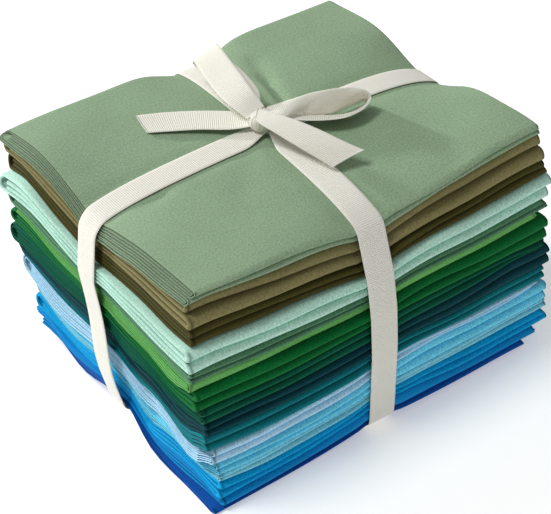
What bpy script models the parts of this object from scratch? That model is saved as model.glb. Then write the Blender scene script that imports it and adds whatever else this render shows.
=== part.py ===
"""A bundle of sixteen cut cloths, each folded flat, tied both ways with one ribbon and a bow.

Every cloth is a cut of 533 x 457 mm that is folded in four along its length, which makes a
strip four plies thick. The strip is then folded to the stack's depth. Most strips are folded
like a book with its flaps turned in, so that two smooth folds show at the front and one fold
wraps the back. Thin ones are folded once. Each cloth is one solid, its section drawn round the
strip and carried along X.

X runs along the front of the stack, Y to its back and Z up. Tables are in millimetres.
"""

from collections import namedtuple

import bpy
import numpy as np

MM = 0.001
CUT_LENGTH = 533.0
CUT_WIDTH = 457.0
FOLDS_EACH_WAY = 4
STACK_LENGTH = CUT_LENGTH / FOLDS_EACH_WAY
STACK_DEPTH = CUT_WIDTH / FOLDS_EACH_WAY
STACK_HEIGHT = 87.6
HALF_X = STACK_LENGTH / 2
HALF_Y = STACK_DEPTH / 2
# The ribbon bulges at the front, so the stack stands a little back from the middle of its box.
BOX_MIDDLE = np.array([0.0, -2.1, 0.15])

CLOTH_GAP = 0.3
LAYER_GAP = 0.3
RIBBON_WIDTH = 10.3
RIBBON_THICKNESS = 1.0
RIBBON_GAP = 0.35
RIBBON_STEP = 6.0
RIBBON_STEP_LEAST = 1.0

# The ribbon that runs front to back crosses the top at one X at the front and another behind.
CROSS_X_FRONT = -2.0
CROSS_X_BACK = 4.0

# How far the ribbon pulls the top down and the bottom up at the middle of each side, how far
# beside the ribbon that spreads, and how far in from the edge it reaches.
Pull = namedtuple("Pull", "depth width reach")
TOP_PULL = {
    "front": Pull(5.0, 9.0, 13.0),
    "back": Pull(5.5, 10.0, 13.0),
    "left": Pull(4.6, 9.0, 13.0),
    "right": Pull(7.6, 14.0, 13.0),
}
BOTTOM_PULL = {
    "front": Pull(1.2, 9.0, 16.0),
    "back": Pull(1.5, 9.0, 16.0),
    "left": Pull(7.5, 9.0, 16.0),
    "right": Pull(2.5, 9.0, 16.0),
}
TRACK_GROOVE = 0.5
TRACK_RECESS = RIBBON_THICKNESS + RIBBON_GAP
CROSSING_RECESS = 2.0
TRACK_HALF_WIDTH = 9.5
TRACK_FADE = 13.5
# The top is CROWN higher than its corners, and the folds bulge out by FRONT_BULGE at the middle
# of the front. Both fall to nothing at the far ends given here.
CROWN = 2.0
CROWN_FALL = (72.0, 60.0)
FRONT_BULGE = 4.2
BULGE_END = 74.0

# near, right and left are a cloth's relative thickness at the front left, front right and back
# left corners. end_near and end_far are the X of its left end at the front and at the back,
# end_right is the X of its right end, and front and back are the Y of its folds.
Cloth = namedtuple("Cloth", "name folds near right left end_near end_far end_right front back colour")
CLOTHS = [
    Cloth("sage", 2, 4.8, 4.8, 4.3, -67.0, -67.5, 66.6, -57.0, 57.0, (0.262, 0.372, 0.235)),
    Cloth("khaki", 2, 9.0, 9.0, 4.7, -67.2, -68.0, 68.2, -57.6, 57.4, (0.168, 0.142, 0.064)),
    Cloth("brown", 2, 5.3, 5.3, 6.0, -67.5, -68.5, 69.8, -57.3, 56.8, (0.040, 0.030, 0.010)),
    Cloth("mint", 2, 10.8, 9.6, 7.6, -71.0, -72.0, 71.4, -58.0, 58.6, (0.350, 0.605, 0.480)),
    Cloth("slate", 2, 5.4, 4.8, 4.5, -70.0, -70.5, 70.0, -57.6, 57.2, (0.060, 0.125, 0.095)),
    Cloth("lime", 1, 3.2, 3.0, 5.6, -70.4, -70.4, 66.4, -56.4, 56.4, (0.110, 0.340, 0.090)),
    Cloth("forest", 2, 7.4, 8.8, 5.4, -70.0, -70.6, 70.4, -58.2, 57.8, (0.005, 0.085, 0.018)),
    Cloth("pine", 2, 6.0, 5.6, 4.5, -67.6, -71.8, 69.6, -57.8, 57.2, (0.006, 0.070, 0.036)),
    Cloth("petrol", 2, 4.8, 6.4, 5.0, -67.6, -69.6, 71.6, -58.0, 58.0, (0.005, 0.036, 0.044)),
    Cloth("teal", 2, 7.0, 5.2, 5.0, -68.2, -69.6, 68.8, -57.6, 57.0, (0.007, 0.090, 0.095)),
    Cloth("powder", 2, 5.8, 4.8, 5.5, -68.2, -69.4, 66.4, -57.2, 57.4, (0.285, 0.445, 0.590)),
    Cloth("sky", 2, 4.8, 5.8, 5.8, -67.6, -68.4, 71.2, -57.8, 57.8, (0.110, 0.440, 0.640)),
    Cloth("seafoam", 2, 4.8, 4.8, 5.6, -65.8, -67.0, 71.0, -57.4, 56.8, (0.140, 0.370, 0.440)),
    Cloth("cerulean", 2, 6.2, 6.0, 7.2, -66.2, -67.0, 70.2, -58.2, 57.4, (0.008, 0.225, 0.445)),
    Cloth("azure", 1, 3.2, 3.6, 5.4, -65.8, -67.4, 66.6, -58.2, 57.6, (0.006, 0.180, 0.420)),
    Cloth("royal", 1, 2.8, 3.0, 4.9, -69.6, -64.0, 60.8, -58.6, 54.6, (0.006, 0.055, 0.260)),
]
RIBBON_COLOUR = (0.760, 0.725, 0.640)
CLOTH_ROUGHNESS = 0.85
RIBBON_ROUGHNESS = 0.55

# The Y where every cloth's flat part ends and its folds start to turn, and where the raw edges
# inside the back fold lie. SPINE_WALL is the layer's share of the back fold's reach.
FLAT_FRONT = -55.5
FLAT_BACK = 54.4
RAW_EDGE = 52.6
SPINE_WALL = 0.5

# Stations shared by every cloth, so that the facets of neighbours run side by side. Those
# along X beside the cross ribbon follow its slant.
BESIDE_TRACK = 7.5
STATIONS_X = (-38.0, CROSS_X_FRONT - BESIDE_TRACK, CROSS_X_FRONT + BESIDE_TRACK, 34.0)
SLANT_SHARE = (0.3, 1.0, 1.0, 0.3)
STATIONS_Y = (-23.0, -8.0, 8.0, 23.0)

Edge = namedtuple("Edge", "x y z x2 y2 z2")
# The bow's strips: the two edges of the ribbon at each turn of its way, from the knot outwards
# and, on a loop, back to the knot.
BOW = {
    "bow_tail_left": [
        Edge(-7.0, 2.2, 93.0, -5.6, 5.0, 93.6),
        Edge(-11.2, 6.6, 91.4, -8.4, 14.2, 92.6),
        Edge(-18.8, 13.1, 90.9, -15.2, 22.2, 91.6),
        Edge(-25.6, 18.4, 90.6, -22.6, 28.0, 91.3),
        Edge(-32.2, 23.2, 90.4, -30.9, 32.6, 91.2),
    ],
    "bow_tail_right": [
        Edge(-3.4, -3.4, 96.6, 1.4, -3.4, 97.0),
        Edge(-3.9, -9.0, 95.6, 5.2, -11.4, 98.2),
        Edge(-2.6, -17.0, 93.8, 7.2, -20.2, 97.4),
        Edge(-0.1, -25.4, 92.2, 9.6, -28.6, 96.0),
        Edge(2.2, -33.1, 90.9, 12.1, -36.4, 94.6),
    ],
    "bow_loop_left": [
        Edge(-5.6, 3.6, 96.3, -1.4, 3.8, 97.0),
        Edge(-7.9, 9.0, 97.2, 0.6, 9.6, 99.4),
        Edge(-8.0, 15.0, 97.6, 1.4, 14.6, 101.2),
        Edge(-6.8, 23.0, 98.0, 2.6, 21.6, 101.9),
        Edge(-5.0, 31.6, 98.6, 4.2, 30.4, 102.7),
        Edge(-3.4, 38.0, 98.4, 5.6, 36.6, 102.6),
        Edge(-2.8, 40.0, 97.0, 6.2, 38.4, 101.0),
        Edge(-2.7, 38.4, 95.4, 6.6, 36.8, 99.2),
        Edge(-3.2, 31.0, 94.9, 6.4, 29.6, 98.4),
        Edge(-4.0, 21.0, 94.6, 6.0, 19.8, 97.6),
        Edge(-4.0, 11.0, 94.4, 5.0, 11.6, 95.6),
        Edge(-4.6, 3.7, 94.2, -0.2, 3.7, 94.4),
    ],
    "bow_loop_right": [
        Edge(2.8, -1.8, 93.4, 3.0, 1.6, 94.8),
        Edge(6.2, -3.6, 92.4, 8.0, 0.5, 95.8),
        Edge(11.0, -5.5, 92.0, 12.0, -3.4, 98.1),
        Edge(18.9, -6.9, 89.6, 19.2, -6.8, 99.3),
        Edge(26.9, -7.0, 89.0, 25.7, -9.4, 98.7),
        Edge(32.6, -7.4, 89.0, 29.4, -12.2, 97.2),
        Edge(35.6, -8.6, 89.0, 31.4, -14.0, 95.6),
        Edge(31.6, -10.7, 89.0, 26.9, -16.7, 95.0),
        Edge(26.5, -11.1, 89.0, 21.8, -17.3, 95.0),
        Edge(19.8, -8.9, 89.3, 15.1, -15.2, 94.4),
        Edge(11.9, -6.9, 91.0, 9.2, -11.4, 92.9),
        Edge(3.2, -3.2, 92.4, 2.8, -3.0, 92.6),
    ],
}
KNOT_LOW = (-4.6, -2.9, 92.1)
KNOT_HIGH = (2.3, 2.9, 97.6)
KNOT_ROUNDING = 0.6
KNOT_RINGS = 6
KNOT_SIDES = 12
# The bands are gathered to this share of their width at the knot, and are full again this far on.
GATHERED = 0.45
GATHER_LENGTH = 14.0


def slant(y):
    """X of the cross ribbon's middle at depth y."""
    along = np.clip((y + HALF_Y) / STACK_DEPTH, 0, 1)
    return CROSS_X_FRONT + (CROSS_X_BACK - CROSS_X_FRONT) * along


def bell(t, width):
    """1 under the ribbon, fading beside it."""
    beside = np.maximum(abs(t) - RIBBON_WIDTH / 2, 0)
    return np.exp(-((beside / width) ** 2))


def pulled(x, y, pulls):
    """Sum over the four sides of the ribbon's pull, deepest where it crosses the edge."""
    sides = {
        "front": (x - slant(y), HALF_Y + y),
        "back": (x - slant(y), HALF_Y - y),
        "left": (y, HALF_X + x),
        "right": (y, HALF_X - x),
    }
    return sum(
        pulls[side].depth * bell(along, pulls[side].width) * np.exp(-inwards / pulls[side].reach)
        for side, (along, inwards) in sides.items()
    )


def track(x, y):
    """1 under either ribbon, fading to 0 beside it."""
    beside = np.minimum(abs(x - slant(y)), abs(y)) - TRACK_HALF_WIDTH
    return np.clip(1 - beside / TRACK_FADE, 0, 1)


def crossing(x, y):
    """1 where the two ribbons cross, fading to 0 beside them."""
    beside = np.maximum(abs(x - slant(y)), abs(y)) - TRACK_HALF_WIDTH
    return np.clip(1 - beside / TRACK_FADE, 0, 1)


def stack_top(x, y):
    crown = CROWN * (1 - (x / CROWN_FALL[0]) ** 2 * (y / CROWN_FALL[1]) ** 2)
    return STACK_HEIGHT + crown - TRACK_GROOVE * track(x, y) - pulled(x, y, TOP_PULL)


def stack_bottom(x, y):
    recess = TRACK_RECESS * track(x, y) + CROSSING_RECESS * crossing(x, y)
    return recess + pulled(x, y, BOTTOM_PULL)


def corner_mix(near, right, left, x, y):
    """Blends the values at three corners over the stack. The fourth corner is the plane's."""
    u = (x + HALF_X) / STACK_LENGTH
    v = (y + HALF_Y) / STACK_DEPTH
    return near + (right - near) * u + (left - near) * v


def share_above(index, x, y):
    """The part of the stack's height that lies above cloth number index."""
    thickness = [corner_mix(c.near, c.right, c.left, x, y) for c in CLOTHS]
    return sum(thickness[:index], np.zeros_like(x)) / sum(thickness)


def smooth_seam(index, x, y):
    """Height of the boundary above cloth number index."""
    top, bottom = stack_top(x, y), stack_bottom(x, y)
    return top - (top - bottom) * share_above(index, x, y)


def station_x(number, y):
    return STATIONS_X[number] + SLANT_SHARE[number] * (slant(y) - CROSS_X_FRONT)


def seam_on_stations(index, number, x, y):
    """The boundary's height at x on the line of station number, straight between the stations
    along Y and carried on straight past the last ones."""
    rows = np.array([-HALF_Y, *STATIONS_Y, HALF_Y])
    cell = np.clip(np.searchsorted(rows, y) - 1, 0, len(rows) - 2)
    low, high = rows[cell], rows[cell + 1]
    part = (y - low) / (high - low)

    def on_row(row):
        if number in (0, len(STATIONS_X) + 1):
            edge, inner = (-HALF_X, 0) if number == 0 else (HALF_X, len(STATIONS_X) - 1)
            inner_x = station_x(inner, row)
            at_edge = smooth_seam(index, np.full_like(row, edge), row)
            at_inner = smooth_seam(index, inner_x, row)
            return at_inner + (at_edge - at_inner) * (x - inner_x) / (edge - inner_x)
        return smooth_seam(index, station_x(number - 1, row), row)

    return on_row(low) * (1 - part) + on_row(high) * part


def height_share(index):
    """0 at the bottom of the stack and 1 at the top, for the middle of one cloth."""
    sizes = [c.near for c in CLOTHS]
    return 1 - (sum(sizes[:index]) + sizes[index] / 2) / sum(sizes)


Spot = namedtuple("Spot", "kind y sheets gaps")


def bend(kind, middle, sheets, gaps, angles):
    """Points round a fold. Their y is the share of the way to its tip. Their depth under the
    cloth's top is counted in layers and in gaps, from one side of the fold's middle to the other."""
    return [
        Spot(kind, np.sin(a), middle[0] + sheets * np.cos(a), middle[1] + gaps * np.cos(a))
        for a in np.radians(angles)
    ]


def straight(kind_from, kind_to, sheets, gaps):
    """One face of a layer, from one end to the other by the shared stations."""
    rows = STATIONS_Y if kind_from == "front" else STATIONS_Y[::-1]
    start = Spot(kind_from, None, sheets, gaps)
    end = Spot(kind_to, None, sheets, gaps)
    return [start, *(Spot("row", y, sheets, gaps) for y in rows), end]


def section_twice_folded():
    """The outline of a strip folded like a book with its flaps turned in."""
    nose = (45, 90, 135)
    spine = (25, 65, 115, 155)
    outer = (
        straight("raw", "front", 2, 1)
        + bend("nose", (1, 0.5), 1, 0.5, nose)
        + straight("front", "spine", 0, 0)
        + bend("wrap", (2, 1.5), -2, -1.5, spine)
        + straight("spine", "front", 4, 3)
        + bend("nose", (3, 2.5), 1, 0.5, nose)
        + straight("front", "raw", 2, 2)
    )
    inner = (
        straight("raw", "front", 3, 2)
        + bend("crook", (3, 2.5), 0, 0.5, (90,))
        + straight("front", "spine", 3, 3)
        + bend("inside", (2, 1.5), 1, 1.5, (40, 90, 140))
        + straight("spine", "front", 1, 0)
        + bend("crook", (1, 0.5), 0, 0.5, (90,))
        + straight("front", "raw", 1, 1)
    )
    return outer + inner


def section_once_folded():
    """The outline of a strip folded in half, with its fold at the front."""
    return (
        straight("raw", "front", 2, 1)
        + bend("nose", (1, 0.5), 1, 0.5, (45, 90, 135))
        + straight("front", "raw", 0, 0)
        + straight("raw", "front", 1, 0)
        + bend("crook", (1, 0.5), 0, 0.5, (90,))
        + straight("front", "raw", 1, 1)
    )


def cloth_points(index):
    """Rows of points, one outline for each station along X."""
    cloth = CLOTHS[index]
    layers = 2 * cloth.folds
    spots = section_twice_folded() if cloth.folds == 2 else section_once_folded()
    swell = np.sin(np.pi * height_share(index))
    outlines = []
    for number in range(len(STATIONS_X) + 2):
        rough_x = (cloth.end_near, *STATIONS_X, cloth.end_right)[number]
        bulge = FRONT_BULGE * swell * (1 - (rough_x / BULGE_END) ** 2)
        place = {
            "raw": RAW_EDGE if cloth.folds == 2 else cloth.back,
            "front": FLAT_FRONT - bulge,
            "spine": FLAT_BACK,
            "crook": FLAT_FRONT - bulge - LAYER_GAP / 2,
        }
        tips = {
            "nose": (FLAT_FRONT - bulge, cloth.front - bulge),
            "wrap": (FLAT_BACK, cloth.back),
            "inside": (FLAT_BACK, cloth.back - SPINE_WALL * (cloth.back - FLAT_BACK)),
        }
        y = np.empty(len(spots))
        for n, spot in enumerate(spots):
            if spot.kind in place:
                y[n] = place[spot.kind]
            elif spot.kind == "row":
                y[n] = spot.y
            else:
                start, tip = tips[spot.kind]
                y[n] = start + (tip - start) * spot.y
        if number == 0:
            along = (y + HALF_Y) / STACK_DEPTH
            x = cloth.end_near + (cloth.end_far - cloth.end_near) * along
        elif number == len(STATIONS_X) + 1:
            x = np.full_like(y, cloth.end_right)
        else:
            x = station_x(number - 1, y)
        top = seam_on_stations(index, number, x, y) - CLOTH_GAP / 2
        bottom = seam_on_stations(index + 1, number, x, y) + CLOTH_GAP / 2
        sheet = (top - bottom - (layers - 1) * LAYER_GAP) / layers
        depth = sheet * [s.sheets for s in spots] + LAYER_GAP * np.array([s.gaps for s in spots])
        outlines.append(np.stack([x, y, top - depth], axis=1))
    return np.array(outlines)


def prism_faces(rows, count, along_y):
    """Triangles between neighbouring outlines, each square split along the diagonal that runs
    to larger X and larger Y, and the two ends as one face each."""
    faces = []
    for row in range(rows - 1):
        for n in range(count):
            m = (n + 1) % count
            a, b = row * count + n, row * count + m
            c, d = (row + 1) * count + m, (row + 1) * count + n
            if along_y[m] >= along_y[n]:
                faces += [(a, c, b), (a, d, c)]
            else:
                faces += [(a, d, b), (b, d, c)]
    faces.append(tuple(range(count)))
    faces.append(tuple(reversed(range((rows - 1) * count, rows * count))))
    return faces


def material(name, colour, roughness):
    made = bpy.data.materials.new(name)
    made.use_nodes = True
    shader = made.node_tree.nodes["Principled BSDF"]
    shader.inputs["Base Color"].default_value = (*colour, 1.0)
    shader.inputs["Roughness"].default_value = roughness
    shader.inputs["Metallic"].default_value = 0.0
    return made


def add_object(name, points, faces, made):
    mesh = bpy.data.meshes.new(name)
    mesh.from_pydata(((points - BOX_MIDDLE) * MM).tolist(), [], faces)
    mesh.update()
    mesh.materials.append(made)
    obj = bpy.data.objects.new(name, mesh)
    bpy.context.scene.collection.objects.link(obj)


def add_cloth(index):
    cloth = CLOTHS[index]
    outlines = cloth_points(index)
    rows, count, _ = outlines.shape
    faces = prism_faces(rows, count, outlines[1, :, 1])
    made = material(cloth.name + "_cotton", cloth.colour, CLOTH_ROUGHNESS)
    name = f"cloth_{index + 1:02d}_{cloth.name}"
    add_object(name, outlines.reshape(-1, 3), faces, made)
    return outlines


def hull(points):
    """The convex outline of points in a plane, counterclockwise."""
    points = sorted(map(tuple, points))

    def chain(ordered):
        kept = []
        for p in ordered:
            while len(kept) > 1:
                (ax, ay), (bx, by) = kept[-2], kept[-1]
                if (bx - ax) * (p[1] - ay) - (by - ay) * (p[0] - ax) > 0:
                    break
                kept.pop()
            kept.append(p)
        return kept[:-1]

    return np.array(chain(points) + chain(points[::-1]))


def taut_path(points, gap, longest):
    """Middle line of a ribbon drawn tight round points in a plane: their convex outline moved
    out by gap and half the ribbon's thickness, with a point at least every longest."""
    outline = hull(points)
    edge = np.roll(outline, -1, axis=0) - outline
    length = np.linalg.norm(edge, axis=1, keepdims=True)
    out = np.stack([edge[:, 1], -edge[:, 0]], axis=1) / length
    before = np.roll(out, 1, axis=0)
    path = []
    for corner, side, turned, step, size in zip(outline, before, out, edge, length[:, 0]):
        bisector = side + turned
        reach = (gap + RIBBON_THICKNESS / 2) * 2 / (bisector @ bisector)
        path.append(corner + bisector * reach)
        pieces = int(np.ceil(size / longest))
        path += [corner + turned * (gap + RIBBON_THICKNESS / 2) + step * k / pieces for k in range(1, pieces)]
    return np.array(path)


def thinned(path, nearest):
    """Drops points that lie closer than nearest to the one before."""
    kept = [path[0]]
    for point in path[1:]:
        if np.linalg.norm(point - kept[-1]) >= nearest:
            kept.append(point)
    if np.linalg.norm(kept[-1] - kept[0]) < nearest:
        kept.pop()
    return np.array(kept)


def ring_faces(rows, count, closed):
    faces = []
    for row in range(rows if closed else rows - 1):
        after = (row + 1) % rows
        for n in range(count):
            m = (n + 1) % count
            faces.append((row * count + n, row * count + m, after * count + m, after * count + n))
    if not closed:
        faces.append(tuple(reversed(range(count))))
        faces.append(tuple(range((rows - 1) * count, rows * count)))
    return faces


def add_strip(name, low, high, closed, made):
    """A ribbon between two edge lines, thickened to both sides of the surface between them."""
    middle = (low + high) / 2
    if closed:
        forward = np.roll(middle, -1, axis=0) - np.roll(middle, 1, axis=0)
    else:
        forward = np.gradient(middle, axis=0)
    normal = np.cross(forward, high - low)
    normal *= RIBBON_THICKNESS / 2 / np.linalg.norm(normal, axis=1, keepdims=True)
    section = np.stack([low - normal, high - normal, high + normal, low + normal], axis=1)
    faces = ring_faces(len(section), 4, closed)
    add_object(name, section.reshape(-1, 3), faces, made)


def waist(distance):
    """Half width of a band at a distance from the knot: it is gathered in at the knot."""
    spread = np.clip(abs(distance) / GATHER_LENGTH, 0, 1)
    return RIBBON_WIDTH / 2 * (GATHERED + (1 - GATHERED) * spread * spread * (3 - 2 * spread))


def near_crossing(distance):
    """1 where a band lies on the other, fading with the distance along it from there."""
    return np.clip(1 - (abs(distance) - TRACK_HALF_WIDTH) / TRACK_FADE, 0, 1)


def add_bands(all_points, made):
    """The two closed rounds of ribbon, each drawn tight round the stack. The long one lies over
    the cross one on top, and under it below."""
    near = abs(all_points[:, 0] - slant(all_points[:, 1])) < TRACK_HALF_WIDTH
    path = thinned(taut_path(all_points[near][:, 1:], RIBBON_GAP, RIBBON_STEP), RIBBON_STEP_LEAST)
    on_top = path[:, 1] > STACK_HEIGHT / 2
    path[:, 1] += np.where(on_top, 0, CROSSING_RECESS * near_crossing(path[:, 0]))
    half = np.where(on_top, waist(np.where(on_top, path[:, 0], STACK_DEPTH)), RIBBON_WIDTH / 2)
    x = slant(path[:, 0])
    low = np.stack([x - half, path[:, 0], path[:, 1]], axis=1)
    high = np.stack([x + half, path[:, 0], path[:, 1]], axis=1)
    add_strip("ribbon_cross", low, high, True, made)

    near = abs(all_points[:, 1]) < TRACK_HALF_WIDTH
    path = thinned(taut_path(all_points[near][:, ::2], RIBBON_GAP, RIBBON_STEP), RIBBON_STEP_LEAST)
    on_top = path[:, 1] > STACK_HEIGHT / 2
    over = (RIBBON_THICKNESS + RIBBON_GAP) * near_crossing(path[:, 0] - slant(0.0))
    path[:, 1] += np.where(on_top, over, 0)
    half = np.where(on_top, waist(path[:, 0] - slant(0.0)), RIBBON_WIDTH / 2)
    low = np.stack([path[:, 0], half, path[:, 1]], axis=1)
    high = np.stack([path[:, 0], -half, path[:, 1]], axis=1)
    add_strip("ribbon_long", low, high, True, made)


def smooth_line(points, pieces):
    """A curve through all points: on each span it leaves and arrives along the chord between
    the neighbours."""
    points = np.asarray(points, float)
    ends = np.vstack([2 * points[0] - points[1], points, 2 * points[-1] - points[-2]])
    t = (np.arange(pieces) / pieces)[:, None]
    spans = []
    for a, b, c, d in zip(ends, ends[1:], ends[2:], ends[3:]):
        slope_b, slope_c = (c - a) / 2, (d - b) / 2
        spans.append(
            b * (2 * t**3 - 3 * t**2 + 1)
            + slope_b * (t**3 - 2 * t**2 + t)
            + c * (3 * t**2 - 2 * t**3)
            + slope_c * (t**3 - t**2)
        )
    return np.vstack([*spans, points[-1:]])


def add_bow(made):
    for name, edges in BOW.items():
        line = smooth_line(edges, 2)
        add_strip(name, line[:, :3], line[:, 3:], False, made)


def add_knot(made):
    """The pinched middle of the bow: a small block with rounded corners."""
    low, high = np.array(KNOT_LOW), np.array(KNOT_HIGH)
    middle, half = (low + high) / 2, (high - low) / 2
    turn = np.linspace(-np.pi / 2, np.pi / 2, KNOT_RINGS + 2)[1:-1]
    around = np.linspace(0, 2 * np.pi, KNOT_SIDES, endpoint=False)

    def rounded(value):
        return np.sign(value) * abs(value) ** KNOT_ROUNDING

    up = rounded(np.sin(turn))[:, None] * np.ones(KNOT_SIDES)
    ring = rounded(np.cos(turn))[:, None]
    points = np.stack([ring * rounded(np.cos(around)), ring * rounded(np.sin(around)), up], axis=2)
    faces = ring_faces(KNOT_RINGS, KNOT_SIDES, False)
    add_object("bow_knot", (points * half + middle).reshape(-1, 3), faces, made)


def main():
    for old in list(bpy.data.objects):
        bpy.data.objects.remove(old)
    outlines = [add_cloth(index) for index in range(len(CLOTHS))]
    all_points = np.vstack([o.reshape(-1, 3) for o in outlines])
    ribbon = material("cream_grosgrain", RIBBON_COLOUR, RIBBON_ROUGHNESS)
    add_bands(all_points, ribbon)
    add_bow(ribbon)
    add_knot(ribbon)


main()
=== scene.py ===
# %% [markdown]
# # A tied bundle of sixteen folded cloths
# The object is a stack of cotton cuts, each folded flat to the same size, tied both ways with one
# cream ribbon and a bow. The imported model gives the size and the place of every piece. This
# lesson dresses it: each cloth becomes one sheet that is really folded, each length of ribbon
# becomes a thin strip, and the camera stands where the photograph was taken.

import math
from collections import namedtuple

import bpy
import numpy as np
from mathutils import Matrix, Vector


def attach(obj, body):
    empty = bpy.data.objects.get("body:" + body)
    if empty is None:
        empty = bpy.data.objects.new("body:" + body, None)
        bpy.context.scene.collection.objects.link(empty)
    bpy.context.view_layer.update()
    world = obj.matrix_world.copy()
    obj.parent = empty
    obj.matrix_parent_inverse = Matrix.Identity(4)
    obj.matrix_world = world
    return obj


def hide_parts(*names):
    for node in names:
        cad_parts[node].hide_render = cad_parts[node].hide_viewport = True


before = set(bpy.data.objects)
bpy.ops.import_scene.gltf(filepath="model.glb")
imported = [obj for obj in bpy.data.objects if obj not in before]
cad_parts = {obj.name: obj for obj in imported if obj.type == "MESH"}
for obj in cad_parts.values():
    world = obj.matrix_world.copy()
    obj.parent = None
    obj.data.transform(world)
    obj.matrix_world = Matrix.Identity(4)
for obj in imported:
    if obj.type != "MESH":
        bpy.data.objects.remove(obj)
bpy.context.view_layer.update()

# %% [markdown]
# The tables below are in millimetres, with X along the front of the stack, Y to its back and Z
# up. They are measured from the middle of the stack, while the model's origin is the middle of
# its box. Since the ribbon bulges at the front, one small shift leads from the tables to the
# model.

# %% Units and the stack's size
MM = 0.001
BOX_MIDDLE = np.array([0.0, -2.1, 0.15])
# A cut is 21 by 18 inches, and it is folded in four both ways.
CUT = (0.533, 0.457)
HALF_X, HALF_Y = (round(side / MM) / 8 for side in CUT)
HEIGHT = 87.6


def to_model(points):
    """Table millimetres to the model's metres."""
    return (np.asarray(points, float) - BOX_MIDDLE) * MM


print("a folded cut is", 2 * HALF_X, "by", 2 * HALF_Y, "mm, and the stack is", HEIGHT, "mm high")

# %% [markdown]
# The camera could be turned until the picture looks right, but a bundle has few straight edges to
# judge by. Its place was solved from the corners of the stack instead: a long lens, two thirds of
# a metre away, looking down at a bit under forty degrees and rolled a little.

# %% Camera
CAMERA_AT = (-0.2644, -0.4246, 0.42475)
AZIMUTH, ELEVATION, ROLL = (math.radians(a) for a in (-31.64, 37.74, -5.02))
LENS = 120.68


def add(name, data):
    """A new object with this data, in the scene."""
    made = bpy.data.objects.new(name, data)
    bpy.context.scene.collection.objects.link(made)
    return made


level = Vector((math.cos(AZIMUTH), math.sin(AZIMUTH), 0.0))
outward = Vector((math.sin(AZIMUTH), -math.cos(AZIMUTH), 0.0))
back = outward * math.cos(ELEVATION) + Vector((0.0, 0.0, math.sin(ELEVATION)))
upright = back.cross(level)
right = level * math.cos(ROLL) + upright * math.sin(ROLL)
up = upright * math.cos(ROLL) - level * math.sin(ROLL)
camera = add("camera", bpy.data.cameras.new("camera"))
camera.data.lens = LENS
camera.matrix_world = Matrix.Translation(CAMERA_AT) @ Matrix((right, up, back)).transposed().to_4x4()
bpy.context.scene.camera = camera
print("camera at", CAMERA_AT, "with a lens of", LENS, "mm")

# %% [markdown]
# The stack isn't a block. The ribbon pulls the top down where it crosses the edges and pulls the
# underside up, the middle is a little higher than the corners, and the cloth puffs up beside the
# ribbon. Sculpting could shape one cloth like that, but here all sixteen have to follow. So the
# top and the underside are plain functions of X and Y that take whole arrays. Their first part
# is the ribbon's pull at each of the four sides.

# %% The ribbon's pull
# X of the cross ribbon's middle at the front and at the back, and half the ribbon's width.
CROSS_X = (-2.0, 4.0)
BAND_HALF = 5.15
# How deep the ribbon pulls at the middle of a side, how far that spreads to either hand and with
# which power it falls, and how far in from the edge it reaches.
Pull = namedtuple("Pull", "depth lower upper power reach")
TOP_PULL = {
    "front": Pull(5.0, 17.0, 26.0, 1.2, 13.0),
    "back": Pull(5.5, 10.0, 10.0, 2.0, 13.0),
    "left": Pull(3.8, 16.0, 15.0, 1.3, 13.0),
    "right": Pull(7.6, 14.0, 14.0, 2.0, 13.0),
}
BOTTOM_PULL = {
    "front": Pull(2.4, 16.0, 40.0, 1.4, 16.0),
    "back": Pull(1.5, 9.0, 9.0, 2.0, 16.0),
    "left": Pull(7.5, 9.0, 18.0, 2.0, 16.0),
    "right": Pull(2.5, 9.0, 9.0, 2.0, 16.0),
}


def smooth(t):
    """0 to 1 with a soft start and end: 3 t squared less 2 t cubed."""
    t = np.clip(t, 0.0, 1.0)
    return t * t * (3.0 - 2.0 * t)


def slant(y):
    """X of the cross ribbon's middle at depth y."""
    along = np.clip((y + HALF_Y) / (2 * HALF_Y), 0, 1)
    return CROSS_X[0] + (CROSS_X[1] - CROSS_X[0]) * along


def under_band(x, y, fade):
    """1 under either ribbon, falling softly to 0 over fade beside it."""
    beside = np.minimum(abs(x - slant(y)), abs(y)) - BAND_HALF
    return 1 - smooth(beside / fade)


def pulled(x, y, pulls):
    """Sum over the four sides of depth * exp(-(off / width) to the power - inwards / reach): deepest
    under the ribbon at the edge, softer beside it and inwards."""
    sides = {
        "front": (x - slant(y), HALF_Y + y),
        "back": (x - slant(y), HALF_Y - y),
        "left": (y, HALF_X + x),
        "right": (y, HALF_X - x),
    }
    total = 0.0
    for side, (beside, inwards) in sides.items():
        pull = pulls[side]
        off = np.maximum(abs(beside) - BAND_HALF, 0)
        fall = (off / np.where(beside < 0, pull.lower, pull.upper)) ** pull.power
        total = total + pull.depth * np.exp(-fall - np.maximum(inwards, 0) / pull.reach)
    return total


print("pulled down at the front by", round(float(pulled(0.0, -HALF_Y, TOP_PULL)), 1), "mm")

# %% [markdown]
# Loosely folded cotton also stands up in low puffs between the pulls, and the uppermost cloth has
# a few creases that run out from the knot. Both are bell curves here: a puff of the distance from
# a point, a crease of the distance from a short line. A texture could fake them, but the light
# comes in low from behind and needs real slopes.

# %% Puffs and creases
# Places where the top stands higher: x, y, height and how far it spreads.
PUFFS = [
    (-58.0, 46.0, 1.5, 22.0),
    (-68.0, 32.0, 1.8, 18.0),
    (60.0, -46.0, 2.0, 24.0),
    (66.0, -57.0, 1.6, 22.0),
    (-66.0, -57.0, 1.0, 14.0),
    (-62.0, -30.0, 0.5, 14.0),
    (30.0, 22.0, 0.5, 20.0),
    (30.0, -24.0, 0.5, 20.0),
]
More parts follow.
